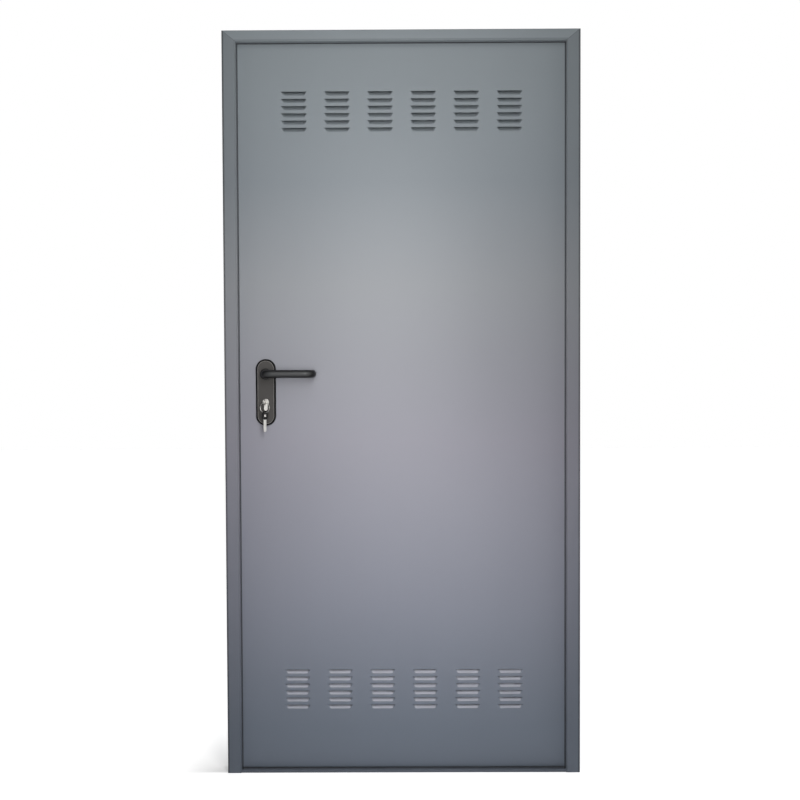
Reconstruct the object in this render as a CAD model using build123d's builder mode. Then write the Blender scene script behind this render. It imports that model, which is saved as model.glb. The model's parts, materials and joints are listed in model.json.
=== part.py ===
"""Louvred steel utility door in its pressed steel frame, with lock, lever handles, keys and hinges.

Millimetres. +X is to the viewer's right, +Y goes away from the viewer, +Z is up.
The origin is in the middle of the sill's underside.
"""

import os
from math import cos, hypot, radians, sin

from build123d import *

os.makedirs("parts", exist_ok=True)

# Frame
frame_width = 990.0
frame_height = 2070.0
frame_depth = 60.0
frame_sheet = 1.5
frame_bend = 2.5
jamb_face = 38.5
head_face = 31.0
stop_depth = 18.0
stop_lip = 15.0
frame_return = 18.0
sill_thickness = 4.0
sill_lip = 8.0
sill_lip_thickness = 2.0
fixing_hole = 9.0
fixing_end = 210.0
fixing_count = 4
fixing_stagger = 35.0

# Seal on the back of the stop
seal_thickness = 1.7
seal_clearance = 0.3
seal_show = 2.5
seal_inset = 2.5

# Leaf
leaf_thickness = 40.0
leaf_sheet = 1.0
leaf_bend = 2.0
lock_gap = 8.0
hinge_gap = 5.5
head_gap = 5.0
sill_gap = 5.5
lid_lip = 15.0
lid_clearance = 0.3

# Louvres, pressed inwards with the slit along the top edge
louvre_width = 70.0
louvre_height = 11.0
louvre_depth = 11.0
louvre_taper = 6.0
louvre_columns = 6
louvre_rows = 6
louvre_column_pitch = 120.0
louvre_row_pitch = 20.0
upper_group_drop = 219.0
lower_group_rise = 232.0

# Lock and handles
spindle_side = 8.0
spindle_reach = 18.0
handle_set_in = 82.0
handle_height = 1122.5
cylinder_drop = 78.0
plate_width = 55.0
plate_height = 186.0
plate_thickness = 8.0
plate_bevel = 3.0
plate_top = 41.5
collar_diameter = 31.0
collar_height = 3.0
lever_diameter = 22.0
lever_length = 131.0
lever_reach = 48.0
lever_return = 10.0
lever_elbow = 20.0
lever_clearance = 0.3
cylinder_diameter = 17.0
cylinder_height = 33.0
cylinder_web = 10.0
cylinder_proud = 2.5
cylinder_clearance = 0.3
skin_clearance = 1.0
forend_width = 22.0
forend_length = 235.0
forend_thickness = 3.0
forend_drop = 45.0
forend_clearance = 0.3
case_thickness = 15.0
case_depth = 105.0
case_height = 180.0
bolt_width = 12.0
bolt_clearance = 0.25
bolt_tail = 30.0
latch_height = 24.0
latch_nose = 1.2
dead_bolt_height = 34.0
dead_bolt_drop = 55.0
strike_thickness = 1.5
strike_width = 24.0
strike_length = 180.0
strike_margin = 3.0

# Keys
key_thickness = 2.2
key_bow = 24.0
key_bow_width = 17.0
key_hole = 6.5
key_hole_offset = 5.5
key_neck = 4.0
key_blade_width = 8.4
key_blade_length = 30.0
key_clearance = 0.2
ring_radius = 14.0
ring_wire = 1.6
ring_width = 1.8
ring_clearance = 0.9
ring_yaw = -20.0
spare_yaw = -30.0

# Hinges
hinge_radius = 8.0
hinge_pin = 8.0
hinge_knuckle = 50.0
hinge_gap_between = 0.4
hinge_stand = 8.5
hinge_flap = 3.0
hinge_flap_width = 24.0
hinge_end_distance = 260.0
pin_fit = 0.05
pin_running = 0.1

# Places worked out from the sizes above
front_y = -frame_depth / 2
rear_y = frame_depth / 2
stop_y = front_y + stop_depth
leaf_front = stop_y + seal_thickness + seal_clearance
leaf_rear = leaf_front + leaf_thickness
leaf_middle = (leaf_front + leaf_rear) / 2
outer_x = frame_width / 2
reveal_x = outer_x - jamb_face
web_x = reveal_x + stop_lip
mitre = head_face / jamb_face
reveal_z = frame_height - head_face
head_lip = stop_lip * mitre
web_z = reveal_z + head_lip
leaf_left = -web_x + lock_gap
leaf_right = web_x - hinge_gap
leaf_bottom = sill_thickness + sill_gap
leaf_top = web_z - head_gap
leaf_width = leaf_right - leaf_left
leaf_height = leaf_top - leaf_bottom
leaf_x = (leaf_left + leaf_right) / 2
leaf_z = (leaf_bottom + leaf_top) / 2
upper_group_z = frame_height - upper_group_drop
lower_group_z = lower_group_rise
handle_x = leaf_left + handle_set_in
cylinder_z = handle_height - cylinder_drop
forend_z = handle_height - forend_drop
dead_bolt_z = handle_height - dead_bolt_drop
hinge_x = (leaf_right + web_x) / 2
hinge_y = leaf_rear + hinge_stand

front_plane = Plane(origin=(leaf_x, leaf_front, leaf_z), x_dir=(1, 0, 0), z_dir=(0, -1, 0))
rear_plane = Plane(origin=(leaf_x, leaf_rear, leaf_z), x_dir=(-1, 0, 0), z_dir=(0, 1, 0))
middle_plane = Plane(origin=(0, leaf_middle, 0), x_dir=(1, 0, 0), z_dir=(0, 1, 0))
handle_plane = Plane(origin=(handle_x, leaf_front, handle_height), x_dir=(1, 0, 0), z_dir=(0, -1, 0))
cylinder_plane = Plane(origin=(handle_x, leaf_front, cylinder_z), x_dir=(1, 0, 0), z_dir=(0, -1, 0))
edge_plane = Plane(origin=(leaf_left, leaf_middle, forend_z), x_dir=(0, -1, 0), z_dir=(-1, 0, 0))


def finish(piece, name):
    piece.part.label = name
    export_step(piece.part, f"parts/{name}.step")


# Frame members: one folded sheet section, mitred at the top corners


def frame_section(plane, face, lip):
    with BuildSketch(plane) as section:
        with BuildLine():
            FilletPolyline(
                (0, front_y + frame_return),
                (0, front_y),
                (face, front_y),
                (face, stop_y),
                (face - lip, stop_y),
                (face - lip, rear_y),
                (0, rear_y),
                (0, rear_y - frame_return),
                radius=frame_bend,
            )
            offset(amount=frame_sheet, side=Side.RIGHT)
        make_face()
    return section.sketch


left_mitre = Plane(origin=(-outer_x, 0, frame_height), z_dir=(head_face, 0, jamb_face))
right_mitre = Plane(origin=(outer_x, 0, frame_height), z_dir=(-head_face, 0, jamb_face))
web_middle = (stop_y + rear_y) / 2
fixing_pitch = (frame_height - 2 * fixing_end) / (fixing_count - 1)


def make_jamb(fixing_z):
    web = Plane(origin=(-web_x, web_middle, fixing_z), x_dir=(0, -1, 0), z_dir=(-1, 0, 0))
    with BuildPart() as jamb:
        extrude(frame_section(Plane((-outer_x, 0, 0)), jamb_face, stop_lip), amount=frame_height)
        split(bisect_by=left_mitre, keep=Keep.BOTTOM)
        with BuildSketch(web):
            with GridLocations(0, fixing_pitch, 1, fixing_count):
                Circle(fixing_hole / 2)
        extrude(amount=frame_sheet, mode=Mode.SUBTRACT)
    return jamb.part


with BuildPart() as hinge_jamb:
    mirror(make_jamb(frame_height / 2 - fixing_stagger), about=Plane.YZ)
finish(hinge_jamb, "hinge_jamb")

with BuildPart() as lock_jamb:
    add(make_jamb(frame_height / 2))
    with BuildSketch(Plane(origin=(-web_x, leaf_middle, 0), x_dir=(0, -1, 0), z_dir=(-1, 0, 0))):
        with Locations((0, handle_height)):
            Rectangle(bolt_width + 2 * strike_margin, latch_height + 2 * strike_margin)
        with Locations((0, dead_bolt_z)):
            Rectangle(bolt_width + 2 * strike_margin, dead_bolt_height + 2 * strike_margin)
    extrude(amount=frame_sheet, mode=Mode.SUBTRACT)
finish(lock_jamb, "lock_jamb")

with BuildPart() as head:
    head_plane = Plane(origin=(-outer_x, 0, frame_height), x_dir=(0, 0, -1), z_dir=(1, 0, 0))
    extrude(frame_section(head_plane, head_face, head_lip), amount=frame_width)
    split(bisect_by=left_mitre, keep=Keep.TOP)
    split(bisect_by=right_mitre, keep=Keep.TOP)
finish(head, "head")

with BuildPart() as sill:
    with BuildSketch():
        with Locations((0, (front_y + stop_y) / 2 + frame_bend)):
            Rectangle(2 * reveal_x, stop_depth)
        with Locations((0, web_middle)):
            Rectangle(2 * web_x, frame_depth - stop_depth - 2 * frame_bend)
    extrude(amount=sill_thickness)
    with BuildSketch():
        with Locations((0, front_y + frame_bend + sill_lip_thickness / 2)):
            Rectangle(2 * reveal_x, sill_lip_thickness)
    extrude(amount=sill_lip)
finish(sill, "sill")

# Rubber seal, a flat strip on the back of the stop on three sides
seal_outer_x = web_x - seal_inset
seal_inner_x = reveal_x - seal_show
seal_outer_z = web_z - seal_inset
seal_inner_z = reveal_z - seal_show
stop_plane = Plane(origin=(0, stop_y, 0), x_dir=(-1, 0, 0), z_dir=(0, 1, 0))

with BuildPart() as gasket_hinge_side:
    with BuildSketch(stop_plane):
        with Locations((-(seal_inner_x + seal_outer_x) / 2, (sill_thickness + seal_inner_z) / 2)):
            Rectangle(seal_outer_x - seal_inner_x, seal_inner_z - sill_thickness)
    extrude(amount=seal_thickness)
finish(gasket_hinge_side, "gasket_hinge_side")

with BuildPart() as gasket_lock_side:
    mirror(gasket_hinge_side.part, about=Plane.YZ)
finish(gasket_lock_side, "gasket_lock_side")

with BuildPart() as gasket_head:
    with BuildSketch(stop_plane):
        with Locations((0, (seal_inner_z + seal_outer_z) / 2)):
            Rectangle(2 * seal_outer_x, seal_outer_z - seal_inner_z)
    extrude(amount=seal_thickness)
finish(gasket_head, "gasket_head")

# One louvre on the XY plane: Y up the sheet, Z out of its face


def make_scoop(grow):
    slope_distance = louvre_height * louvre_depth / hypot(louvre_height, louvre_depth)
    scale = 1 + grow / slope_distance
    with BuildPart() as scoop:
        with BuildSketch(Plane.YZ):
            with BuildLine():
                Polyline((0, 0), (0, -louvre_depth * scale), (-louvre_height * scale, 0), close=True)
            make_face()
        extrude(amount=louvre_width, both=True)
        for side in (1, -1):
            normal = Vector(
                side * louvre_height * louvre_depth,
                -louvre_taper * louvre_depth,
                -louvre_taper * louvre_height,
            ).normalized()
            end = Plane(origin=Vector(side * louvre_width / 2, 0, 0) + normal * grow, z_dir=normal)
            split(bisect_by=end, keep=Keep.BOTTOM)
    return scoop.part


scoop_wall = make_scoop(leaf_sheet)
scoop_hollow = make_scoop(0)


def press_louvres():
    row_middle = louvre_height / 2
    for group_z in (upper_group_z, lower_group_z):
        with Locations((0, group_z - leaf_z + row_middle)):
            with GridLocations(louvre_column_pitch, louvre_row_pitch, louvre_columns, louvre_rows):
                add(scoop_wall)
                add(scoop_hollow, mode=Mode.SUBTRACT)


def cylinder_profile(plane, grow):
    tail = cylinder_height - (cylinder_diameter + cylinder_web) / 2
    with BuildSketch(plane) as profile:
        Circle(cylinder_diameter / 2 + grow)
        with Locations((0, -tail / 2)):
            Rectangle(cylinder_web + 2 * grow, tail)
        with Locations((0, -tail)):
            Circle(cylinder_web / 2 + grow)
    return profile.sketch


# Leaf: a folded tray closed by a lid
tray_depth = leaf_thickness - leaf_sheet

with BuildPart() as front_skin:
    with BuildSketch(front_plane):
        Rectangle(leaf_width, leaf_height)
    extrude(amount=-tray_depth)
    fillet(front_skin.faces().sort_by(Axis.Y)[0].edges(), leaf_bend)
    offset(amount=-leaf_sheet, openings=front_skin.faces().sort_by(Axis.Y)[-1])
    with Locations(front_plane):
        press_louvres()
    with BuildSketch(handle_plane):
        Circle(lever_diameter / 2)
    extrude(amount=-leaf_sheet, mode=Mode.SUBTRACT)
    extrude(cylinder_profile(cylinder_plane, skin_clearance), amount=-leaf_sheet, mode=Mode.SUBTRACT)
    with BuildSketch(edge_plane):
        Rectangle(forend_width + 2 * forend_clearance, forend_length + 2 * forend_clearance)
    extrude(amount=-leaf_sheet, mode=Mode.SUBTRACT)
finish(front_skin, "front_skin")

with BuildPart() as back_skin:
    with BuildSketch(rear_plane):
        Rectangle(leaf_width, leaf_height)
    extrude(amount=-leaf_sheet)
    lid_inset = 2 * (leaf_sheet + lid_clearance)
    with BuildSketch(rear_plane.offset(-leaf_sheet)):
        Rectangle(leaf_width - lid_inset, leaf_height - lid_inset)
        Rectangle(
            leaf_width - lid_inset - 2 * leaf_sheet,
            leaf_height - lid_inset - 2 * leaf_sheet,
            mode=Mode.SUBTRACT,
        )
    extrude(amount=-lid_lip)
    with Locations(rear_plane):
        press_louvres()
    with BuildSketch(handle_plane.offset(-leaf_thickness)):
        Circle(lever_diameter / 2)
    extrude(amount=leaf_sheet, mode=Mode.SUBTRACT)
    back_profile = cylinder_profile(cylinder_plane.offset(-leaf_thickness), skin_clearance)
    extrude(back_profile, amount=leaf_sheet, mode=Mode.SUBTRACT)
    with BuildSketch(edge_plane):
        Rectangle(forend_width + 2 * forend_clearance, forend_length + 2 * forend_clearance)
    extrude(amount=-forend_thickness, mode=Mode.SUBTRACT)
finish(back_skin, "back_skin")

# Mortice lock: forend and case in one, with latch and dead bolt drawn back
with BuildPart() as mortice_lock:
    with BuildSketch(edge_plane):
        Rectangle(forend_width, forend_length)
    extrude(amount=-forend_thickness)
    with BuildSketch(edge_plane.offset(-forend_thickness)):
        Rectangle(case_thickness, case_height)
    extrude(amount=-case_depth)
    with BuildSketch(handle_plane):
        Circle(lever_diameter / 2)
    extrude(amount=-leaf_thickness, mode=Mode.SUBTRACT)
    case_profile = cylinder_profile(cylinder_plane, cylinder_clearance)
    extrude(case_profile, amount=-leaf_thickness, mode=Mode.SUBTRACT)
    with BuildSketch(Plane(origin=(leaf_left, leaf_middle, 0), x_dir=(0, -1, 0), z_dir=(-1, 0, 0))):
        with Locations((0, handle_height)):
            Rectangle(bolt_width + 2 * bolt_clearance, latch_height + 2 * bolt_clearance)
        with Locations((0, dead_bolt_z)):
            Rectangle(bolt_width + 2 * bolt_clearance, dead_bolt_height + 2 * bolt_clearance)
    extrude(amount=-bolt_tail - bolt_clearance, mode=Mode.SUBTRACT)
finish(mortice_lock, "mortice_lock")


def slide_bolt(plane, height, nose):
    with BuildPart() as bolt:
        with BuildSketch(plane.offset(nose)):
            Rectangle(bolt_width, height)
        extrude(amount=-bolt_tail - nose)
    return bolt


latch_plane = Plane(origin=(leaf_left, leaf_middle, handle_height), x_dir=(0, -1, 0), z_dir=(-1, 0, 0))
dead_bolt_plane = Plane(origin=(leaf_left, leaf_middle, dead_bolt_z), x_dir=(0, -1, 0), z_dir=(-1, 0, 0))

latch_bolt = slide_bolt(latch_plane, latch_height, latch_nose)
finish(latch_bolt, "latch_bolt")

dead_bolt = slide_bolt(dead_bolt_plane, dead_bolt_height, 0)
finish(dead_bolt, "dead_bolt")

strike_z = (handle_height + dead_bolt_z) / 2
strike_plane = Plane(origin=(-web_x, leaf_middle, strike_z), x_dir=(0, 1, 0), z_dir=(1, 0, 0))

with BuildPart() as strike_plate:
    with BuildSketch(strike_plane):
        RectangleRounded(strike_width, strike_length, strike_margin)
        with Locations((0, handle_height - strike_z)):
            Rectangle(bolt_width + 2 * strike_margin, latch_height + 2 * strike_margin, mode=Mode.SUBTRACT)
        with Locations((0, dead_bolt_z - strike_z)):
            Rectangle(
                bolt_width + 2 * strike_margin,
                dead_bolt_height + 2 * strike_margin,
                mode=Mode.SUBTRACT,
            )
    extrude(amount=strike_thickness)
finish(strike_plate, "strike_plate")

# Long plates with bevelled rims and a collar round the lever's neck
plate_outer = handle_plane.offset(plate_thickness)

with BuildPart() as front_plate:
    with BuildSketch(handle_plane):
        with Locations((0, plate_top - plate_height / 2)):
            SlotOverall(plate_height, plate_width, rotation=90)
    extrude(amount=plate_thickness)
    chamfer(front_plate.faces().sort_by(Axis.Y)[0].edges(), plate_bevel)
    with BuildSketch(plate_outer):
        Circle(collar_diameter / 2)
    extrude(amount=collar_height)
    with BuildSketch(handle_plane):
        Circle(lever_diameter / 2 + lever_clearance)
    extrude(amount=plate_thickness + collar_height, mode=Mode.SUBTRACT)
    plate_profile = cylinder_profile(cylinder_plane, cylinder_clearance)
    extrude(plate_profile, amount=plate_thickness, mode=Mode.SUBTRACT)
finish(front_plate, "front_plate")

with BuildPart() as back_plate:
    mirror(front_plate.part, about=middle_plane)
finish(back_plate, "back_plate")

# Return levers, one round bar each, on a square spindle
lever_plane = Plane(origin=(handle_x, leaf_front, handle_height), x_dir=(1, 0, 0), z_dir=(0, 0, 1))

with BuildPart() as front_lever:
    with BuildLine(lever_plane) as lever_path:
        FilletPolyline(
            (0, -lever_clearance),
            (0, -lever_reach),
            (lever_length, -lever_reach),
            (lever_length, -lever_return),
            radius=lever_elbow,
        )
    with BuildSketch(handle_plane.offset(lever_clearance)):
        Circle(lever_diameter / 2)
    sweep()
    with BuildSketch(handle_plane):
        Rectangle(spindle_side + 2 * lever_clearance, spindle_side + 2 * lever_clearance)
    extrude(amount=spindle_reach + lever_clearance, mode=Mode.SUBTRACT)
finish(front_lever, "front_lever")

with BuildPart() as back_lever:
    mirror(front_lever.part, about=middle_plane)
finish(back_lever, "back_lever")

with BuildPart() as spindle:
    with BuildSketch(handle_plane.offset(spindle_reach)):
        Rectangle(spindle_side, spindle_side)
    extrude(amount=-leaf_thickness - 2 * spindle_reach)
finish(spindle, "spindle")

# Lock cylinder, the key in it, the ring and the spare key
cylinder_reach = plate_thickness + cylinder_proud
key_plane = Plane(
    origin=(handle_x, leaf_front - cylinder_reach, cylinder_z), x_dir=(0, -1, 0), z_dir=(-1, 0, 0)
)
bow_centre = key_neck + key_bow / 2
hole_centre = bow_centre + key_hole_offset


def make_key(plane):
    with BuildPart() as blank:
        with BuildSketch(plane):
            with Locations((bow_centre, 0)):
                SlotOverall(key_bow, key_bow_width)
            with Locations(((bow_centre - key_blade_length) / 2, 0)):
                Rectangle(bow_centre + key_blade_length, key_blade_width)
            with Locations((hole_centre, 0)):
                Circle(key_hole / 2, mode=Mode.SUBTRACT)
        extrude(amount=key_thickness / 2, both=True)
    return blank


with BuildPart() as cylinder:
    profile = cylinder_profile(cylinder_plane.offset(cylinder_reach), 0)
    extrude(profile, amount=-leaf_thickness - 2 * cylinder_reach)
    with BuildSketch(cylinder_plane.offset(cylinder_reach)):
        Rectangle(key_thickness + 2 * key_clearance, key_blade_width + 2 * key_clearance)
    extrude(amount=-key_blade_length - key_clearance, mode=Mode.SUBTRACT)
finish(cylinder, "cylinder")

key = make_key(key_plane)
finish(key, "key")

ring_seat = (key_hole - ring_wire) / 2 - ring_clearance
ring_y = leaf_front - cylinder_reach - hole_centre
ring_z = cylinder_z - ring_seat - ring_radius
ring_normal = (sin(radians(ring_yaw)), -cos(radians(ring_yaw)), 0)

with BuildPart() as key_ring:
    ring_plane = Plane(origin=(handle_x, ring_y, ring_z), x_dir=(0, 0, 1), z_dir=ring_normal)
    with BuildSketch(ring_plane):
        Circle(ring_radius + ring_wire / 2)
        Circle(ring_radius - ring_wire / 2, mode=Mode.SUBTRACT)
    extrude(amount=ring_width / 2, both=True)
finish(key_ring, "key_ring")

spare_hole_z = ring_z - ring_radius - ring_seat
spare_normal = (sin(radians(-spare_yaw)), -cos(radians(spare_yaw)), 0)
spare_plane = Plane(
    origin=(handle_x, ring_y, spare_hole_z - hole_centre), x_dir=(0, 0, 1), z_dir=spare_normal
)
spare_key = make_key(spare_plane)
finish(spare_key, "spare_key")

# Two lift-off hinges on the rear: the lower knuckle on the frame, the upper one on the leaf


def hinge_half(base_z, flap_side, bore):
    with BuildPart() as half:
        with BuildSketch(Plane.XY.offset(base_z)):
            with Locations((hinge_x, hinge_y)):
                Circle(hinge_radius)
            with Locations((hinge_x + flap_side * hinge_flap_width / 2, leaf_rear + hinge_flap / 2)):
                Rectangle(hinge_flap_width, hinge_flap)
            with Locations((hinge_x, hinge_y)):
                Circle(hinge_pin / 2 + bore, mode=Mode.SUBTRACT)
        extrude(amount=hinge_knuckle - hinge_gap_between / 2)
    return half


for place, middle_z in (
    ("upper", leaf_top - hinge_end_distance),
    ("lower", leaf_bottom + hinge_end_distance),
):
    frame_half = hinge_half(middle_z - hinge_knuckle, 1, pin_fit)
    finish(frame_half, f"{place}_hinge_frame_half")
    leaf_half = hinge_half(middle_z + hinge_gap_between / 2, -1, pin_running)
    finish(leaf_half, f"{place}_hinge_leaf_half")
    with BuildPart() as pin:
        with BuildSketch(Plane.XY.offset(middle_z - hinge_knuckle)):
            with Locations((hinge_x, hinge_y)):
                Circle(hinge_pin / 2)
        extrude(amount=2 * hinge_knuckle)
    finish(pin, f"{place}_hinge_pin")
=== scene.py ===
import json
from math import cos, pi, radians, sin

import bmesh
import bpy
import numpy as np
from mathutils import Matrix, Vector


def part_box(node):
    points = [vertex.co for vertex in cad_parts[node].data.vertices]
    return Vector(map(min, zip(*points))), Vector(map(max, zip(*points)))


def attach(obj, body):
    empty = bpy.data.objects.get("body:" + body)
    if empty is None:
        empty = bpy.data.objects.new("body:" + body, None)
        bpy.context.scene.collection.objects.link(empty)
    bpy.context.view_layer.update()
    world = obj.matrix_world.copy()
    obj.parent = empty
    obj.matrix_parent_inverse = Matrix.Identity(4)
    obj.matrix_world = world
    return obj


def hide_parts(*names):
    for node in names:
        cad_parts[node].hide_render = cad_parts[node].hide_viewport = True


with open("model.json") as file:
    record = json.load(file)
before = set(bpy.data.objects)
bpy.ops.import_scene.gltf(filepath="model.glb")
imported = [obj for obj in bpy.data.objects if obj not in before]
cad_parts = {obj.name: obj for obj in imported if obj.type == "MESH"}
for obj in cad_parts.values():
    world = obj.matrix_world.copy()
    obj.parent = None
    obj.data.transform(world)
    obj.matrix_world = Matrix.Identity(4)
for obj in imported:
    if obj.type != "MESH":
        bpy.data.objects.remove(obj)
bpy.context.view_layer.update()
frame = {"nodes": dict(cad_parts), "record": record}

mm = 0.001
zAxis = np.array([0.0, 0.0, 1.0])
nodes = frame["nodes"]
print("frame loaded:", len(nodes), "CAD nodes")


def nodeBox(name):
    # lowest and highest corner of a CAD node, in millimetres
    low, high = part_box(name)
    return np.array(low) / mm, np.array(high) / mm


def hexLinear(code):
    # sRGB hex to the linear colour that a shader socket takes
    srgb = np.array([int(code[i:i + 2], 16) for i in (1, 3, 5)]) / 255
    linear = np.where(srgb <= 0.04045, srgb / 12.92, ((srgb + 0.055) / 1.055) ** 2.4)
    return (*linear.tolist(), 1.0)


def addNode(tree, kind, inputs=None, **settings):
    # one node with its settings; an input that is a socket is linked, any other value is set
    node = tree.nodes.new(kind)
    for name, value in settings.items():
        setattr(node, name, value)
    for name, value in (inputs or {}).items():
        if isinstance(value, bpy.types.NodeSocket):
            tree.links.new(value, node.inputs[name])
        else:
            node.inputs[name].default_value = value
    return node


def startFinish(name):
    # an empty material, its node tree, and the place on the object that its patterns read
    finish = bpy.data.materials.new(name)
    finish.use_nodes = True
    tree = finish.node_tree
    tree.nodes.clear()
    place = addNode(tree, "ShaderNodeTexCoord").outputs["Object"]
    return finish, tree, place


# Polyester powder coat on folded sheet steel, sprayed and baked. It gives the eye a satin grey with a soft
# sheen, a faint orange peel, slow cloudy changes of tone and the slight waves of thin sheet.
doorPaint = {
    # the coat's tone from the sill to the head, whose changes with height are painted light and shade: a
    # share of the door's height, and its colour
    "tones": (
        (0.06, "#818a98"), (0.24, "#9093a0"), (0.45, "#9a99a4"), (0.66, "#96999e"), (0.80, "#8b9298"),
        (0.96, "#949ca1")),
    "joint": ((0.0, "#676a6f"), (1.0, "#676a6f")),  # paint sunk into the mitre joints
    "doorHeightMm": 2070,
    "cloudMm": 320,
    "cloudShade": 0.06,  # how much darker the deepest clouds are
    "jambShade": 0.78,  # the jambs are drawn a shade darker than the leaf, by this share
    # the coat looks darker where a fold turns from the light: the axis, where the shade starts and is full,
    # in millimetres to either side, and its strength
    "jambFolds": (("X", 489.0, 490.5, 0.5), ("X", 461.0, 459.5, 0.82)),
    "headFolds": (("Z", 2046.0, 2043.0, 0.75),),
    "upwardHighlight": "#cacbd6",  # painted highlight: paint that faces upwards near the floor is drawn pale, as if lit from above
    "upwardHighlightShare": 0.8,
    "upwardHighlightBelowMm": (900, 300),  # where it starts and where it is full
    "upwardHighlightFacing": (0.35, 0.65),  # how far upwards a face turns, likewise
    "wavesMm": 420,
    "waveHeightMm": 0.4,
    "peelMm": 6,  # real orange peel is about 2 mm, drawn coarser so that it shows
    "peelHeightMm": 0.012,
    "roughness": (0.42, 0.50),
}


def makePowderCoat(name, tones, strength=1.0, paintUpwardHighlight=False, folds=()):
    p = doorPaint
    finish, tree, place = startFinish(name)
    axes = addNode(tree, "ShaderNodeSeparateXYZ", {0: place})
    share = addNode(tree, "ShaderNodeMapRange", {
        "Value": axes.outputs["Z"], "From Min": 0.0, "From Max": p["doorHeightMm"] * mm})
    # tone by height: on the door's coats its changes are painted light and shade, the joint's stays flat
    toneByHeight = addNode(tree, "ShaderNodeValToRGB", {"Fac": share.outputs[0]})
    stops = toneByHeight.color_ramp.elements
    while len(stops) < len(tones):
        stops.new(0.5)
    for stop, (position, code) in zip(stops, tones):
        stop.position, stop.color = position, hexLinear(code)
    cloud = addNode(tree, "ShaderNodeTexNoise", {
        "Vector": place, "Scale": 1000 / p["cloudMm"], "Detail": 3.0})
    shade = addNode(tree, "ShaderNodeMapRange", {
        "Value": cloud.outputs["Fac"], "To Min": strength * (1 - p["cloudShade"]), "To Max": strength})
    for axis, start, full, foldShade in folds:
        fromMiddle = addNode(tree, "ShaderNodeMath", {0: axes.outputs[axis]}, operation="ABSOLUTE")
        fold = addNode(tree, "ShaderNodeMapRange", {
            "Value": fromMiddle.outputs[0], "From Min": start * mm, "From Max": full * mm,
            "To Min": 1.0, "To Max": foldShade})
        shade = addNode(tree, "ShaderNodeMath", {
            0: shade.outputs[0], 1: fold.outputs[0]}, operation="MULTIPLY")
    tone = addNode(tree, "ShaderNodeVectorMath", {
        0: toneByHeight.outputs["Color"], "Scale": shade.outputs[0]}, operation="SCALE").outputs[0]
    # painted highlight: faces turned upwards near the floor are mixed towards a pale colour
    if paintUpwardHighlight:
        normal = addNode(tree, "ShaderNodeTexCoord").outputs["Normal"]
        facing = addNode(tree, "ShaderNodeSeparateXYZ", {0: normal})
        upward = addNode(tree, "ShaderNodeMapRange", {
            "Value": facing.outputs["Z"], "From Min": p["upwardHighlightFacing"][0], "From Max": p["upwardHighlightFacing"][1],
            "To Max": p["upwardHighlightShare"]})
        nearFloor = addNode(tree, "ShaderNodeMapRange", {
            "Value": axes.outputs["Z"], "From Min": p["upwardHighlightBelowMm"][0] * mm,
            "From Max": p["upwardHighlightBelowMm"][1] * mm})
        highlightMask = addNode(tree, "ShaderNodeMath", {
            0: upward.outputs[0], 1: nearFloor.outputs[0]}, operation="MULTIPLY")
        tone = addNode(tree, "ShaderNodeMix", {
            0: highlightMask.outputs[0], 6: tone, 7: hexLinear(p["upwardHighlight"])}, data_type="RGBA").outputs[2]
    waves = addNode(tree, "ShaderNodeTexNoise", {
        "Vector": place, "Scale": 1000 / p["wavesMm"], "Detail": 1.0})
    sheet = addNode(tree, "ShaderNodeBump", {
        "Height": waves.outputs["Fac"], "Strength": 1.0, "Distance": p["waveHeightMm"] * mm})
    peel = addNode(tree, "ShaderNodeTexNoise", {
        "Vector": place, "Scale": 1000 / p["peelMm"], "Detail": 2.0})
    skin = addNode(tree, "ShaderNodeBump", {
        "Height": peel.outputs["Fac"], "Strength": 1.0, "Distance": p["peelHeightMm"] * mm,
        "Normal": sheet.outputs["Normal"]})
    matte = addNode(tree, "ShaderNodeMapRange", {
        "Value": cloud.outputs["Fac"], "To Min": p["roughness"][0], "To Max": p["roughness"][1]})
    coat = addNode(tree, "ShaderNodeBsdfPrincipled", {
        "Base Color": tone, "Roughness": matte.outputs[0], "IOR": 1.5, "Normal": skin.outputs["Normal"]})
    addNode(tree, "ShaderNodeOutputMaterial", {"Surface": coat.outputs[0]})
    return finish


# EPDM rubber, extruded. It gives the eye a dull charcoal with a faint grain and almost no sheen.
sealRubber = {"dark": "#3c3e42", "lighter": "#4b4d51", "grainMm": 3, "grainHeightMm": 0.1, "roughness": 0.78}


def makeRubber():
    finish, tree, place = startFinish("sealRubberBlack")
    grain = addNode(tree, "ShaderNodeTexNoise", {
        "Vector": place, "Scale": 1000 / sealRubber["grainMm"], "Detail": 3.0})
    tone = addNode(tree, "ShaderNodeMix", {
        0: grain.outputs["Fac"], 6: hexLinear(sealRubber["dark"]), 7: hexLinear(sealRubber["lighter"])},
        data_type="RGBA")
    bump = addNode(tree, "ShaderNodeBump", {
        "Height": grain.outputs["Fac"], "Strength": 0.4, "Distance": sealRubber["grainHeightMm"] * mm})
    seal = addNode(tree, "ShaderNodeBsdfPrincipled", {
        "Base Color": tone.outputs[2], "Roughness": sealRubber["roughness"], "IOR": 1.5,
        "Normal": bump.outputs["Normal"]})
    addNode(tree, "ShaderNodeOutputMaterial", {"Surface": seal.outputs[0]})
    return finish


# Moulded nylon, filled with glass, from a spark-eroded tool. It gives the eye a deep black with a fine
# leathery grain and a broad soft highlight.
nylonGrainMm = 1.6
nylonRubMm = 25
leverNylon = {
    "black": "#050505", "rubbed": "#0d0d0d", "grainHeightMm": 0.02, "roughness": (0.36, 0.44), "sheen": 0.4,
    "gripHighlight": "#414243",  # painted highlight: the grip's outer side is drawn paler, where the lamps' broad highlight lies
    "gripHighlightFacing": (0.62, 0.97),  # how far outwards a face turns where the painted highlight starts and is full
}
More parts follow.
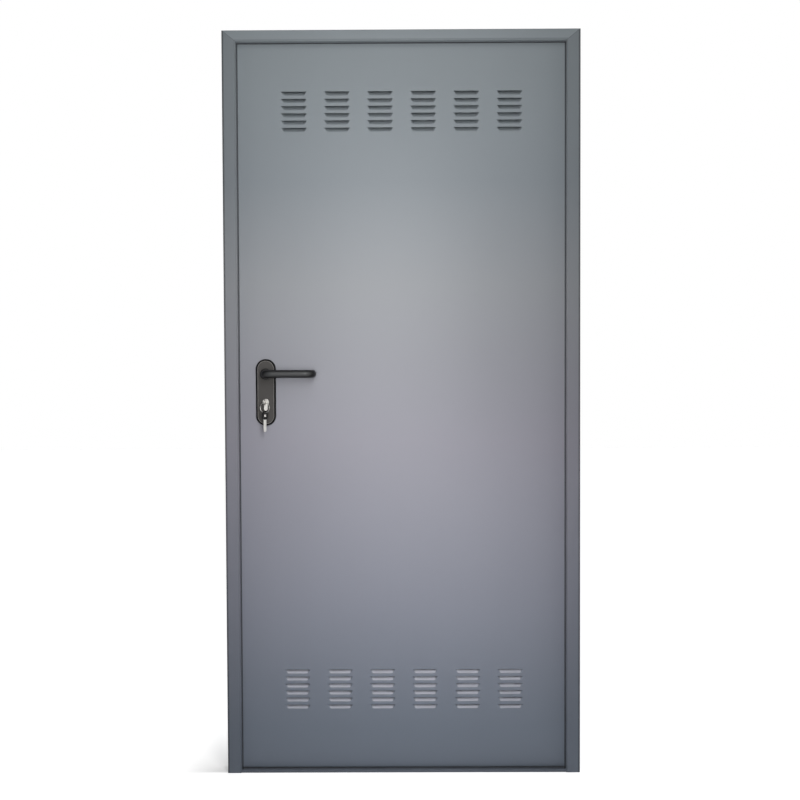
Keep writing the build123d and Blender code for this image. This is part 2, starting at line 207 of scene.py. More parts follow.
# the plates' faces are drawn dark grey, their rims black, and a raised line pale as a painted highlight
plateNylon = {
    "black": "#3a3735", "rubbed": "#45423f", "grainHeightMm": 0.03, "roughness": (0.48, 0.6), "sheen": 0.5}
rimNylon = {
    "black": "#050505", "rubbed": "#0c0c0c", "grainHeightMm": 0.02, "roughness": (0.5, 0.6), "sheen": 0.2}
lineNylon = {
    "black": "#7d7a77", "rubbed": "#8f8c89", "grainHeightMm": 0.01, "roughness": (0.3, 0.4), "sheen": 0.5}


def makeNylon(name, nylon, highlitGrip=False):
    finish, tree, place = startFinish(name)
    rub = addNode(tree, "ShaderNodeTexNoise", {"Vector": place, "Scale": 1000 / nylonRubMm, "Detail": 3.0})
    tone = addNode(tree, "ShaderNodeMix", {
        0: rub.outputs["Fac"], 6: hexLinear(nylon["black"]), 7: hexLinear(nylon["rubbed"])}, data_type="RGBA")
    # painted highlight: faces turned outwards along Y are mixed towards the pale grip colour
    if highlitGrip:
        normal = addNode(tree, "ShaderNodeTexCoord").outputs["Normal"]
        facing = addNode(tree, "ShaderNodeSeparateXYZ", {0: normal})
        outward = addNode(tree, "ShaderNodeMath", {0: facing.outputs["Y"]}, operation="ABSOLUTE")
        lighter = addNode(tree, "ShaderNodeMapRange", {
            "Value": outward.outputs[0], "From Min": nylon["gripHighlightFacing"][0],
            "From Max": nylon["gripHighlightFacing"][1]}, interpolation_type="SMOOTHSTEP")
        tone = addNode(tree, "ShaderNodeMix", {
            0: lighter.outputs[0], 6: tone.outputs[2], 7: hexLinear(nylon["gripHighlight"])}, data_type="RGBA")
    matte = addNode(tree, "ShaderNodeMapRange", {
        "Value": rub.outputs["Fac"], "To Min": nylon["roughness"][0], "To Max": nylon["roughness"][1]})
    grain = addNode(tree, "ShaderNodeTexNoise", {
        "Vector": place, "Scale": 1000 / nylonGrainMm, "Detail": 2.0})
    bump = addNode(tree, "ShaderNodeBump", {
        "Height": grain.outputs["Fac"], "Strength": 0.6, "Distance": nylon["grainHeightMm"] * mm})
    moulding = addNode(tree, "ShaderNodeBsdfPrincipled", {
        "Base Color": tone.outputs[2], "Roughness": matte.outputs[0], "IOR": 1.5,
        "Specular IOR Level": nylon["sheen"], "Normal": bump.outputs["Normal"]})
    addNode(tree, "ShaderNodeOutputMaterial", {"Surface": moulding.outputs[0]})
    return finish


# Zinc-plated steel, rolled and wiped. It gives the eye a blue-grey metal with fine lines along its length.
zincPlate = {
    "pale": "#b9babb", "dull": "#9fa2a4", "roughness": (0.32, 0.46),
    "lineMm": 0.8, "lineLengthMm": 60, "lineTurn": (0, 0, 0), "lineDetail": 3.0,
    "lineStrength": 0.25, "lineDepthMm": 0.02,
}
# Nickel plate on brass, tumbled before plating. It gives the eye a warm bright metal with hairline scratches.
lockNickel = {
    "pale": "#d6d4d0", "dull": "#b9b7b3", "roughness": (0.30, 0.44),
    "lineMm": 0.5, "lineLengthMm": 9, "lineTurn": (0.3, 0.5, 0.2), "lineDetail": 2.0,
    "lineStrength": 0.2, "lineDepthMm": 0.01,
}
# the spare key's metal is drawn paler and duller than the lock's nickel
spareNickel = {**lockNickel, "pale": "#eceae7", "dull": "#dad8d5", "roughness": (0.58, 0.66)}


def makePlating(name, metal):
    # the lines are noise, drawn out from a line's width to its length and turned by lineTurn
    finish, tree, place = startFinish(name)
    narrow, drawn = 1000 / metal["lineMm"], 1000 / metal["lineLengthMm"]
    along = addNode(tree, "ShaderNodeMapping", {
        "Vector": place, "Rotation": metal["lineTurn"], "Scale": (narrow, narrow, drawn)})
    lines = addNode(tree, "ShaderNodeTexNoise", {
        "Vector": along.outputs[0], "Scale": 1.0, "Detail": metal["lineDetail"]})
    tone = addNode(tree, "ShaderNodeMix", {
        0: lines.outputs["Fac"], 6: hexLinear(metal["dull"]), 7: hexLinear(metal["pale"])}, data_type="RGBA")
    matte = addNode(tree, "ShaderNodeMapRange", {
        "Value": lines.outputs["Fac"], "To Min": metal["roughness"][0], "To Max": metal["roughness"][1]})
    bump = addNode(tree, "ShaderNodeBump", {
        "Height": lines.outputs["Fac"], "Strength": metal["lineStrength"],
        "Distance": metal["lineDepthMm"] * mm})
    plating = addNode(tree, "ShaderNodeBsdfPrincipled", {
        "Base Color": tone.outputs[2], "Metallic": 1.0, "Roughness": matte.outputs[0],
        "Normal": bump.outputs["Normal"]})
    addNode(tree, "ShaderNodeOutputMaterial", {"Surface": plating.outputs[0]})
    return finish


powderCoat = makePowderCoat("powderCoatGrey", doorPaint["tones"], paintUpwardHighlight=True)
jambCoat = makePowderCoat(
    "powderCoatJambs", doorPaint["tones"], doorPaint["jambShade"], folds=doorPaint["jambFolds"])
headCoat = makePowderCoat("powderCoatHead", doorPaint["tones"], folds=doorPaint["headFolds"])
jointLine = makePowderCoat("powderCoatJoint", doorPaint["joint"])
rubber = makeRubber()
nylon = makeNylon("nylonBlack", leverNylon)
gripNylon = makeNylon("leverNylonHighlitGrip", leverNylon, highlitGrip=True)
plateGrey = makeNylon("plateNylonGrey", plateNylon)
rimBlack = makeNylon("plateRimBlack", rimNylon)
plateEdge = makeNylon("plateEdgePaintedHighlight", lineNylon)
zinc = makePlating("zincPlatedSteel", zincPlate)
nickel = makePlating("nickelPlatedBrass", lockNickel)
paleNickel = makePlating("nickelSparePale", spareNickel)
slotFinish = {
    "grey_paint": powderCoat, "black_rubber": rubber, "black_nylon": nylon,
    "zinc_steel": zinc, "nickel_plate": nickel,
}
nodeFinish = {
    "front_plate": plateGrey, "back_plate": plateGrey, "front_lever": gripNylon, "back_lever": gripNylon,
    "sill": jambCoat, "lock_jamb": jambCoat, "hinge_jamb": jambCoat, "head": headCoat,
}
for part in frame["record"]["subparts"]:
    materials = nodes[part["node"]].data.materials
    materials.clear()
    materials.append(nodeFinish.get(part["node"], slotFinish[part["material_slot"]]))
print("finishes made:", len(bpy.data.materials))


def gridQuads(rows, columns, closedRows=False, closedColumns=False):
    # four corner numbers of each cell of a grid of points, rows by columns
    i = np.arange(rows if closedRows else rows - 1)[:, None]
    j = np.arange(columns if closedColumns else columns - 1)[None, :]
    nextRow, nextColumn = (i + 1) % rows, (j + 1) % columns
    corners = (
        i * columns + j, i * columns + nextColumn, nextRow * columns + nextColumn, nextRow * columns + j)
    return np.stack(np.broadcast_arrays(*corners), axis=-1).reshape(-1, 4)


def sweep(path, side, out, profile, closedPath=False, swell=1.0):
    # a closed profile carried along a path, grown by swell: point = path + side * the profile's first value
    # + out * its second. Side, out and swell are given once, or for each step of the path.
    side, out = (np.broadcast_to(arm, path.shape)[:, None] for arm in (side, out))
    reach = profile * np.broadcast_to(swell, len(path))[:, None, None]
    points = path[:, None] + side * reach[..., :1] + out * reach[..., 1:]
    return points.reshape(-1, 3), gridQuads(len(path), len(profile), closedPath, True)


def lathe(centre, axis, radius, rise, count=48):
    # a profile of radius and rise turned round an axis: point = centre + rise * axis + radius * turning arm.
    # A profile may also be an array of one row per step of the turn.
    axis = np.array(axis, float)
    arm = zAxis if abs(axis[2]) < 0.5 else np.array([1.0, 0.0, 0.0])
    turn = np.linspace(0, 2 * pi, count, endpoint=False)[:, None]
    ring = np.cos(turn) * arm + np.sin(turn) * np.cross(axis, arm)
    radius, rise = np.broadcast_arrays(np.atleast_2d(radius), np.atleast_2d(rise))
    radius, rise = (np.broadcast_to(values, (count, values.shape[1])) for values in (radius, rise))
    points = np.array(centre) + ring[:, None] * radius[..., None] + axis * rise[..., None]
    return points.reshape(-1, 3), gridQuads(*radius.shape, closedRows=True)


def roundProfile(count, across, out):
    # a round or flat wire's outline, as half its size across and outwards
    turn = np.linspace(0, 2 * pi, count, endpoint=False)
    return np.stack([np.cos(turn) * across, np.sin(turn) * out], axis=-1)


weldGap = 0.004 * mm  # points closer than this become one
speckSize = 0.002 * mm  # smaller faces are removed


def makePiece(name, shells, finish, body, wall=0.0, facing=None, sharp=35):
    # joins shells of points and quads (mm) into one welded mesh that rides on a body. A wall gives an open
    # shell its thickness, behind the side that faces as given. Folds over sharp degrees keep their edge.
    counts = np.cumsum([0] + [len(points) for points, quads in shells[:-1]])
    points = np.concatenate([points for points, quads in shells]) * mm
    quads = np.concatenate([quads + start for (_, quads), start in zip(shells, counts)])
    mesh = bpy.data.meshes.new(name)
    mesh.from_pydata(points.tolist(), [], quads.tolist())
    weld = bmesh.new()
    weld.from_mesh(mesh)
    bmesh.ops.remove_doubles(weld, verts=weld.verts, dist=weldGap)
    bmesh.ops.dissolve_degenerate(weld, edges=weld.edges, dist=speckSize)
    bmesh.ops.recalc_face_normals(weld, faces=weld.faces)
    if facing is not None:
        lean = sum((face.normal * face.calc_area() for face in weld.faces), Vector())
        if lean.dot(Vector(facing)) < 0:
            bmesh.ops.reverse_faces(weld, faces=weld.faces)
    weld.to_mesh(mesh)
    weld.free()
    piece = bpy.data.objects.new(name, mesh)
    bpy.context.scene.collection.objects.link(piece)
    if wall:
        thick = piece.modifiers.new("wall", "SOLIDIFY")
        thick.thickness = wall * mm
        thick.offset = -1.0
        thick.use_even_offset = True
        bpy.context.view_layer.update()
        solid = bpy.data.meshes.new_from_object(piece.evaluated_get(bpy.context.evaluated_depsgraph_get()))
        piece.modifiers.clear()
        piece.data = solid
        bpy.data.meshes.remove(mesh)
        solid.name = name
    piece.data.shade_smooth()
    piece.data.set_sharp_from_angle(angle=radians(sharp))
    piece.data.materials.clear()
    piece.data.materials.append(finish)
    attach(piece, body)
    return piece


# Pressed sheets: the front tray and the rear lid of the leaf
leafSheet = {
    "sheet": 1.0,
    "bend": 2.0,
    "bendSteps": 7,
    "louvreWidth": 70.0,
    "louvreHeight": 11.0,
    "louvreDepth": 11.0,
    "endSlope": 6.0,
    "columnPitch": 120.0,
    "rowPitch": 20.0,
    "columns": 6,
    "rows": 6,
    "groupMiddles": (232.0, 1851.0),
    "cornerRounding": 0.45,  # how far the flap and the end slopes melt together, as a share of the depth
    "rimRounding": 0.10,
    "neckSpare": 8.0,  # room in the sheet round the spindle, the cylinder and the lock's forend
    "cylinderSpare": 1.0,
    "forendSpare": 0.3,
    "sharp": 42,
}
skinLow, skinHigh = nodeBox("front_skin")
leafBack = nodeBox("back_skin")[1][1]
lockLow, lockHigh = nodeBox("mortice_lock")
spindleLow, spindleHigh = nodeBox("spindle")
cylinderLow, cylinderHigh = nodeBox("cylinder")


def softMin(a, b, reach):
    # the lower of two values, with the crease between them rounded over the reach
    near = np.clip(1 - np.abs(a - b) / reach, 0, 1)
    return np.minimum(a, b) - near ** 2 * reach / 4


def pressedGrid(inset, level, inward):
    # a face of the leaf as a grid: the places of its upright and level lines, and its shell.
    # Down a louvre, drop is 0 at the cut and 1 at its foot; along it, run is 0 at the end and grows by 1
    # over the end slope. Depth is the lower of 1 - drop and run - drop, rounded, and never below 0.
    s = leafSheet
    plainRun, plainDrop = -1.0, 2.0  # for lines on the plain sheet, where nothing is pressed
    cutOuts = (
        (spindleLow - s["neckSpare"], spindleHigh + s["neckSpare"]),
        (cylinderLow - s["cylinderSpare"], cylinderHigh + s["cylinderSpare"]))
    half = s["louvreWidth"] / 2
    middle = (skinLow[0] + skinHigh[0]) / 2
    centres = middle + (np.arange(s["columns"]) - (s["columns"] - 1) / 2) * s["columnPitch"]
    fromEnd = np.array([-1.5, 0.0, 1.5, 3.0, 4.5, 6.0, 7.5, 9.5, 13.0, 22.0, half])  # closer at the slope
    across = np.concatenate([fromEnd - half, half - fromEnd[-2::-1]])
    x = (centres[:, None] + across).ravel()
    run = np.tile((half - np.abs(across)) / s["endSlope"], s["columns"])
    plain = [skinLow[0] + inset, skinHigh[0] - inset] + [corner[0] for cut in cutOuts for corner in cut]
    x, run = np.concatenate([x, plain]), np.concatenate([run, np.full(len(plain), plainRun)])
    order = np.argsort(x)
    x, run = x[order], run[order]

    steps = np.array([1.3, 1.15, 1.0, 0.85, 0.7, 0.5, 0.25, 0.0, plainDrop])  # the last is just above the cut
    rows = (np.arange(s["rows"]) - (s["rows"] - 1) / 2) * s["rowPitch"] + s["louvreHeight"] / 2
    cuts = (np.array(s["groupMiddles"])[:, None] + rows).ravel()
    z = (cuts[:, None] - np.where(steps == plainDrop, 0, steps) * s["louvreHeight"]).ravel()
    drop = np.tile(steps, len(cuts))
    plain = [skinLow[2] + inset, skinHigh[2] - inset, lockLow[2], lockHigh[2]]
    plain += [corner[2] for cut in cutOuts for corner in cut]
    z, drop = np.concatenate([z, plain]), np.concatenate([drop, np.full(len(plain), plainDrop)])
    order = np.lexsort((drop, np.round(z, 6)))
    z, drop = z[order], drop[order]

    fall = softMin(1 - drop[:, None], run[None] - drop[:, None], s["cornerRounding"])
    depth = -softMin(-fall, np.zeros_like(fall), s["rimRounding"]) * s["louvreDepth"]
    points = np.stack(np.broadcast_arrays(x[None], level + inward * depth, z[:, None]), axis=-1)
    keep = np.diff(z)[:, None] > 1e-6  # the cut itself stays open
    cellX, cellZ = (x[1:] + x[:-1]) / 2, (z[1:] + z[:-1]) / 2
    for low, high in cutOuts:
        inX = (cellX > low[0]) & (cellX < high[0])
        inZ = (cellZ > low[2]) & (cellZ < high[2])
        keep = keep & ~(inX[None] & inZ[:, None])
    return x, z, (points.reshape(-1, 3), gridQuads(len(z), len(x))[keep.ravel()])


def foldedEdges(x, z):
    # the tray's four folded edges: a quarter bend from the face, then straight back; each edge is a grid
    # of the bend's profile by the face's own lines, drawn in at the corners by the profile's inset
    s = leafSheet
    spare = s["forendSpare"]
    angle = np.linspace(0, pi / 2, s["bendSteps"])
    straight = np.array([lockLow[1], lockHigh[1], skinHigh[1]]) - skinLow[1] + np.array([-spare, spare, 0])
    inset = np.concatenate([s["bend"] * (1 - np.sin(angle)), np.zeros(len(straight))])[:, None]
    depth = np.concatenate([s["bend"] * (1 - np.cos(angle)), straight])[:, None]
    shells = []
    for square, lengthwise, lines in ((0, 2, z), (2, 0, x)):
        low, high = skinLow[lengthwise], skinHigh[lengthwise]
        lines = np.unique(np.round(lines, 6))
        lines = np.concatenate([[low], lines[1:-1], [high]])
        along = np.clip(lines[None], low + inset, high - inset)
        for end, inward in ((skinLow[square], 1), (skinHigh[square], -1)):
            points = np.empty((*along.shape, 3))
            points[..., square] = end + inward * inset
            points[..., 1] = skinLow[1] + depth
            points[..., lengthwise] = along
            quads = gridQuads(*along.shape)
            if square == 0 and inward == 1:
                # the forend shows through a cut in the lock edge
                middle = (lines[1:] + lines[:-1]) / 2
                forendCut = np.zeros((len(depth) - 1, len(middle)), bool)
                forendCut[-2] = (middle > lockLow[2]) & (middle < lockHigh[2])
                quads = quads[~forendCut.ravel()]
            shells.append((points.reshape(-1, 3), quads))
    return shells


trayX, trayZ, trayFace = pressedGrid(leafSheet["bend"], skinLow[1], 1)
frontSheet = makePiece(
    "frontSheet", [trayFace] + foldedEdges(trayX, trayZ), powderCoat, "leaf",
    wall=leafSheet["sheet"], facing=(0, -1, 0), sharp=leafSheet["sharp"])
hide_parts("front_skin")
lidFace = pressedGrid(0.0, leafBack, -1)[2]
backSheet = makePiece(
    "backSheet", [lidFace], powderCoat, "leaf",
    wall=leafSheet["sheet"], facing=(0, 1, 0), sharp=leafSheet["sharp"])
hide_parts("back_skin")
print("leaf sheets pressed:", len(frontSheet.data.polygons), "and", len(backSheet.data.polygons), "faces")

# Long plates: a black rim over the bevel, a pale line inside it as a painted highlight, and a collar round
# the lever's neck
plateTrim = {
    "width": 55.0,
    "height": 186.0,
    "thickness": 8.0,
    "bevel": 3.0,
    "proud": 0.15,
    "land": 1.6,
    "lineInset": 5.3,
    "lineWidth": 0.9,
    "lineRise": 0.15,
    "collarOuter": 15.8,
    "collarInner": 11.7,
    "collarRise": 3.3,
}
spindleX, spindleZ = (spindleLow[0] + spindleHigh[0]) / 2, (spindleLow[2] + spindleHigh[2]) / 2


def slotOutline(halfWidth, halfHeight, steps=25):
    # a slot's outline: two half turns about centres above and below the middle, joined by straight sides;
    # gives the points across and up, and the outward arm at each
    turn = np.concatenate([np.linspace(0, pi, steps), np.linspace(pi, 2 * pi, steps)])
    arm = np.stack([np.cos(turn), np.sin(turn)], axis=-1)
    ends = np.repeat([halfHeight - halfWidth, halfWidth - halfHeight], steps)
    return arm * halfWidth + np.stack([np.zeros_like(ends), ends], axis=-1), arm


def trimPlate(side, base, out):
    t = plateTrim
    low, high = nodeBox(side + "_plate")
    outline, arm = slotOutline(t["width"] / 2, t["height"] / 2)
    path = np.insert(outline + ((low + high) / 2)[[0, 2]], 1, base, axis=1)
    arm = np.insert(arm, 1, 0.0, axis=1)
    outward = (0, out, 0)
    top, shoulder, proud = t["thickness"], t["thickness"] - t["bevel"], t["proud"]
    edge = -t["bevel"]
    land = edge - t["land"]
    # up the plate's side, over the bevel, across the land, and back beneath
    rimProfile = np.array([
        (proud, 0.0), (proud, shoulder), (proud - 0.25, shoulder + 0.45), (edge + 0.4, top - 0.1),
        (edge, top + proud), (land, top + proud), (land - 0.1, top - 0.2), (edge, top - 0.3),
        (-0.3, shoulder - 0.1), (-0.3, 0.0)])
    makePiece(side + "PlateRim", [sweep(path, arm, outward, rimProfile, closedPath=True)],
              rimBlack, "leaf", sharp=30)
    # the pale raised line is a painted highlight along the bevel's inner edge
    half, inset = t["lineWidth"] / 2, t["lineInset"]
    turn = np.linspace(0, pi, 7)
    dome = np.stack([np.cos(turn) * half - inset, np.sin(turn) * t["lineRise"] + top], axis=-1)
    lineProfile = np.concatenate([dome, [(-half - inset, top - 0.1), (half - inset, top - 0.1)]])
    makePiece(side + "PlateLine", [sweep(path, arm, outward, lineProfile, closedPath=True)],
              plateEdge, "leaf")
    inner, outer, rise = t["collarInner"], t["collarOuter"], top + t["collarRise"]
    radius = np.array([inner, inner + 0.4, outer - 1.2, outer - 0.3, outer, outer, inner, inner])
    height = np.array([rise - 0.4, rise, rise, rise - 0.3, rise - 1.2, top + 0.05, top + 0.05, rise - 0.4])
    makePiece(side + "NeckCollar", [lathe((spindleX, base, spindleZ), outward, radius, height)],
              nylon, "leaf")


for side, base, out in (("front", skinLow[1], -1.0), ("back", leafBack, 1.0)):
    trimPlate(side, base, out)
print("plates trimmed")

# Lock cylinder: the turning plug's raised ring on both ends
plugRing = {"inner": 4.7, "outer": 6.7, "rise": 0.4, "cylinderRadius": 8.5}
plugX, plugZ = (cylinderLow[0] + cylinderHigh[0]) / 2, cylinderHigh[2] - plugRing["cylinderRadius"]
inner, outer, rise = plugRing["inner"], plugRing["outer"], plugRing["rise"]
plugRadius = np.array([inner, inner + 0.25, outer - 0.5, outer, outer, inner, inner])
plugHeight = np.array([rise - 0.2, rise, rise, rise - 0.35, -0.1, -0.1, rise - 0.2])
plugEnds = [
    lathe((plugX, cylinderLow[1], plugZ), (0, -1, 0), plugRadius, plugHeight),
    lathe((plugX, cylinderHigh[1], plugZ), (0, 1, 0), plugRadius, plugHeight)]
makePiece("lockPlug", plugEnds, nickel, "leaf")

# Split ring: two turns of flat wire side by side, with one smooth step from turn to turn
splitRing = {
    "radius": 14.0,
    "halfWire": 0.75,
    "halfTurnWidth": 0.4,
    "halfGap": 0.03,
    "yaw": -20.0,
    "steps": 193,
    "stepStart": 1.6,  # in half turns along the wire
    "stepLength": 0.8,
    "taper": 0.12,  # radians over which each end of the wire closes
}
ringLow, ringHigh = nodeBox("key_ring")
ringAxis = np.array([sin(radians(splitRing["yaw"])), -cos(radians(splitRing["yaw"])), 0.0])
ringSide = np.array([-ringAxis[1], ringAxis[0], 0.0])
ringTurn = np.linspace(0, 4 * pi, splitRing["steps"])
step = np.clip((ringTurn - splitRing["stepStart"] * pi) / (splitRing["stepLength"] * pi), 0, 1)
shift = (2 * step ** 2 * (3 - 2 * step) - 1) * (splitRing["halfTurnWidth"] + splitRing["halfGap"])
ringArm = np.cos(ringTurn)[:, None] * ringSide + np.sin(ringTurn)[:, None] * zAxis
ringPath = (ringLow + ringHigh) / 2 + splitRing["radius"] * ringArm + shift[:, None] * ringAxis
wire = roundProfile(14, splitRing["halfWire"], splitRing["halfTurnWidth"])
taper = np.clip(np.minimum(ringTurn, ringTurn[-1] - ringTurn) / splitRing["taper"], 0, 1) ** 0.5
keyRing = makePiece("splitKeyRing", [sweep(ringPath, ringArm, ringAxis, wire, swell=taper)],
                    nickel, "leaf")
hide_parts("key_ring")

# Spare key: a grooved blade with a plain strip above it, in a moulded black head
spareKey = {
    "yaw": -30.0,
    "bladeLength": 30.0,
    "bladeWidth": 8.4,
    "thickness": 2.2,
    "tang": 4.5,
    "headWidth": 17.0,
    "headHeight": 24.0,
    "headThickness": 4.0,
    "headRounding": 0.7,
    "neck": 4.0,
    "hole": 6.5,
    "holeAbove": 5.5,
    "strip": (5.6, 6.0),
    "stripAbove": 8.0,
    "stripProud": 0.15,
}
keyLow, keyHigh = nodeBox("spare_key")
keyOut = np.array([sin(radians(-spareKey["yaw"])), -cos(radians(spareKey["yaw"])), 0.0])
keyAcross = np.array([-keyOut[1], keyOut[0], 0.0])
keyShoulder = np.array([
    (keyLow[0] + keyHigh[0]) / 2, (keyLow[1] + keyHigh[1]) / 2, keyLow[2] + spareKey["bladeLength"]])


def keyBar(rises, widths, profile):
    # a bar up the key: the profile across and through the key, set at each rise and narrowed by each width
    path = keyShoulder + np.array(rises)[:, None] * zAxis
    return sweep(path, keyAcross, keyOut, profile, swell=widths)


half, thick, tip = spareKey["bladeWidth"] / 2, spareKey["thickness"] / 2, -spareKey["bladeLength"]
groovedSide = np.array([
    (-half, -thick + 0.3), (-half + 0.3, -thick), (-1.3, -thick), (-0.9, -thick + 0.5),
    (0.9, -thick + 0.5), (1.3, -thick), (half - 0.3, -thick), (half, -thick + 0.3)])
blade = keyBar(
    [tip, tip, tip + 1, tip + 3, tip + 5, 0, spareKey["tang"], spareKey["tang"]],
    [0, 0.45, 0.65, 0.9, 1, 1, 1, 0], np.concatenate([groovedSide, -groovedSide]))
stripHalf, headHalf = spareKey["strip"][0] / 2, spareKey["headThickness"] / 2
stripOut = headHalf + spareKey["stripProud"]
stripProfile = np.array([
    (-stripHalf, -stripOut), (stripHalf, -stripOut), (stripHalf, stripOut), (-stripHalf, stripOut)])
stripBase = spareKey["neck"] + spareKey["stripAbove"]
stripTop = stripBase + spareKey["strip"][1]
strip = keyBar([stripBase, stripBase, stripTop, stripTop], [0, 1, 1, 0], stripProfile)
spareBlade = makePiece("spareKeyBlade", [blade, strip], paleNickel, "leaf")
headOutline, headArm = slotOutline(spareKey["headWidth"] / 2, spareKey["headHeight"] / 2)
headMiddle = spareKey["neck"] + spareKey["headHeight"] / 2
headEdge = headOutline - spareKey["headRounding"] * headArm
holeRim = headArm * spareKey["hole"] / 2 + np.array([0, spareKey["holeAbove"]])
edgeHalf = headHalf - spareKey["headRounding"]
# six rings round the head: up its side, over its front to the hole, and through the hole to its back
rings = np.stack([headOutline, headOutline, headEdge, holeRim, holeRim, headEdge], axis=1)
through = np.array([-edgeHalf, edgeHalf, headHalf, headHalf, -headHalf, -headHalf])
headPoints = (keyShoulder + rings[..., :1] * keyAcross + (rings[..., 1:] + headMiddle) * zAxis
              + through[None, :, None] * keyOut).reshape(-1, 3)
headQuads = gridQuads(len(headOutline), len(through), True, True)
makePiece("spareKeyHead", [(headPoints, headQuads)], nylon, "leaf")
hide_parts("spare_key")
print("keys made")

# Hinges: domed caps on the knuckles and weld beads along the flaps
hingeTrim = {
    "knuckle": 8.0,
    "capInset": 0.5,
    "capRise": 3.0,
    "bead": 1.7,
    "beadInset": 3.0,
    "beadSteps": 121,
    "beadEnd": 1.5,
    "ripple": 2.6,
    "rippleSwell": 0.14,
    "flapRise": 0.6,
}


def trimHinge(hinge, body, end):
    t = hingeTrim
    low, high = nodeBox(f"{hinge}_hinge_{body}_half")
    knuckleX = low[0] + t["knuckle"] if body == "frame" else high[0] - t["knuckle"]
    turn = np.linspace(0, pi / 2, 9)
    radius = np.concatenate([np.sin(turn) * (t["knuckle"] - t["capInset"]), [0.0]])
    rise = np.concatenate([np.cos(turn) * t["capRise"], [0.0]])
    capBase = high[2] if end > 0 else low[2]
    cap = lathe((knuckleX, high[1] - t["knuckle"], capBase), (0, 0, end), radius, rise)
    makePiece(f"{hinge}HingeCap{body.title()}", [cap], powderCoat, body)
    # a bead of weld that swells in ripples along its length and closes at both ends
    rises = np.linspace(low[2] + t["beadInset"], high[2] - t["beadInset"], t["beadSteps"])
    edgeX = np.full(len(rises), high[0] if body == "frame" else low[0])
    path = np.stack([edgeX, np.full(len(rises), low[1] + t["flapRise"]), rises], axis=-1)
    swell = 1 + t["rippleSwell"] * np.sin(2 * pi * rises / t["ripple"])
    swell = swell * np.clip(np.minimum(rises - rises[0], rises[-1] - rises) / t["beadEnd"], 0, 1) ** 0.5
    bead = sweep(path, (1, 0, 0), (0, 1, 0), roundProfile(14, t["bead"], t["bead"]), swell=swell)
    makePiece(f"{hinge}HingeBead{body.title()}", [bead], powderCoat, body, sharp=60)


for hinge in ("upper", "lower"):
    for body, end in (("frame", -1.0), ("leaf", 1.0)):
        trimHinge(hinge, body, end)
print("hinges trimmed")

# Countersunk screws with a cross recess: a shallow dome, sunk where a point is near either bar of the cross
screw = {
    "radius": 4.0,
    "dome": 0.45,
    "slotHalf": 0.55,
    "slotSide": 0.25,
    "slotReach": 2.6,
    "slotEnd": 0.6,
    "slotDepth": 1.1,
    "sunk": 1.3,
    "forendEnd": 11.0,  # from the ends of the forend and the strike plate
    "plateEnd": 17.0,  # from the ends of the back plate
    "rings": 15,
    "turnSteps": 72,
}


def makeScrew(centre, axis):
    s = screw
    reach = np.linspace(0, 1, s["rings"]) * s["radius"]
    turn = np.linspace(0, 2 * pi, s["turnSteps"], endpoint=False)[:, None]
    offBar = np.minimum(np.abs(np.cos(turn)), np.abs(np.sin(turn))) * reach
    inBar = np.clip((s["slotHalf"] - offBar) / s["slotSide"], 0, 1)
    inBar = inBar * np.clip((s["slotReach"] - reach) / s["slotEnd"], 0, 1)
    rise = s["dome"] * (1 - (reach / s["radius"]) ** 2) - s["slotDepth"] * inBar
    rise = np.concatenate([rise, np.full((s["turnSteps"], 2), -s["sunk"])], axis=1)
    return lathe(centre, axis, np.concatenate([reach, [s["radius"], 0.0]]), rise, s["turnSteps"])


strikeLow, strikeHigh = nodeBox("strike_plate")
backPlateLow, backPlateHigh = nodeBox("back_plate")
lockMiddle = (lockLow[1] + lockHigh[1]) / 2
forendScrews = [
    makeScrew((lockLow[0], lockMiddle, level), (-1, 0, 0))
    for level in (lockLow[2] + screw["forendEnd"], lockHigh[2] - screw["forendEnd"])]
strikeScrews = [
    makeScrew((strikeHigh[0], lockMiddle, level), (1, 0, 0))
    for level in (strikeLow[2] + screw["forendEnd"], strikeHigh[2] - screw["forendEnd"])]
backPlateScrews = [
    makeScrew((spindleX, leafBack + plateTrim["thickness"], level), (0, 1, 0))
    for level in (backPlateLow[2] + screw["plateEnd"], backPlateHigh[2] - screw["plateEnd"])]
makePiece("forendScrews", forendScrews, zinc, "leaf")
makePiece("strikeScrews", strikeScrews, zinc, "frame")
makePiece("backPlateScrews", backPlateScrews, zinc, "leaf")

# Mitre joints: a hairline of sunk paint from corner to corner, on the front and rear faces
mitre = {
    "halfLine": 0.55,
    "rise": 0.1,
    "fromOuter": 3.0,
    "fromInner": 1.5,
    "frontOpening": (456.5, 2039.0),
    "rearOpening": (471.5, 2051.1),
}
headLow, headHigh = nodeBox("head")
hairline = roundProfile(8, mitre["halfLine"], mitre["rise"])
mitreLines = []
for face, out, opening in ((headLow[1], -1.0, "frontOpening"), (headHigh[1], 1.0, "rearOpening")):
    for hand in (-1.0, 1.0):
        outerCorner = np.array([hand * headHigh[0], face, headHigh[2]])
        innerCorner = np.array([hand * mitre[opening][0], face, mitre[opening][1]])
        along = (innerCorner - outerCorner) / np.linalg.norm(innerCorner - outerCorner)
        lineStart = outerCorner + along * mitre["fromOuter"]
        lineEnd = innerCorner - along * mitre["fromInner"]
        path = np.array([lineStart, lineStart, (lineStart + lineEnd) / 2, lineEnd, lineEnd])
        outward = (0, out, 0)
        mitreLines.append(sweep(path, np.cross(along, outward), outward, hairline, swell=[0, 1, 1, 1, 0]))
makePiece("mitreJoints", mitreLines, jointLine, "frame")
print("screws and joints made")

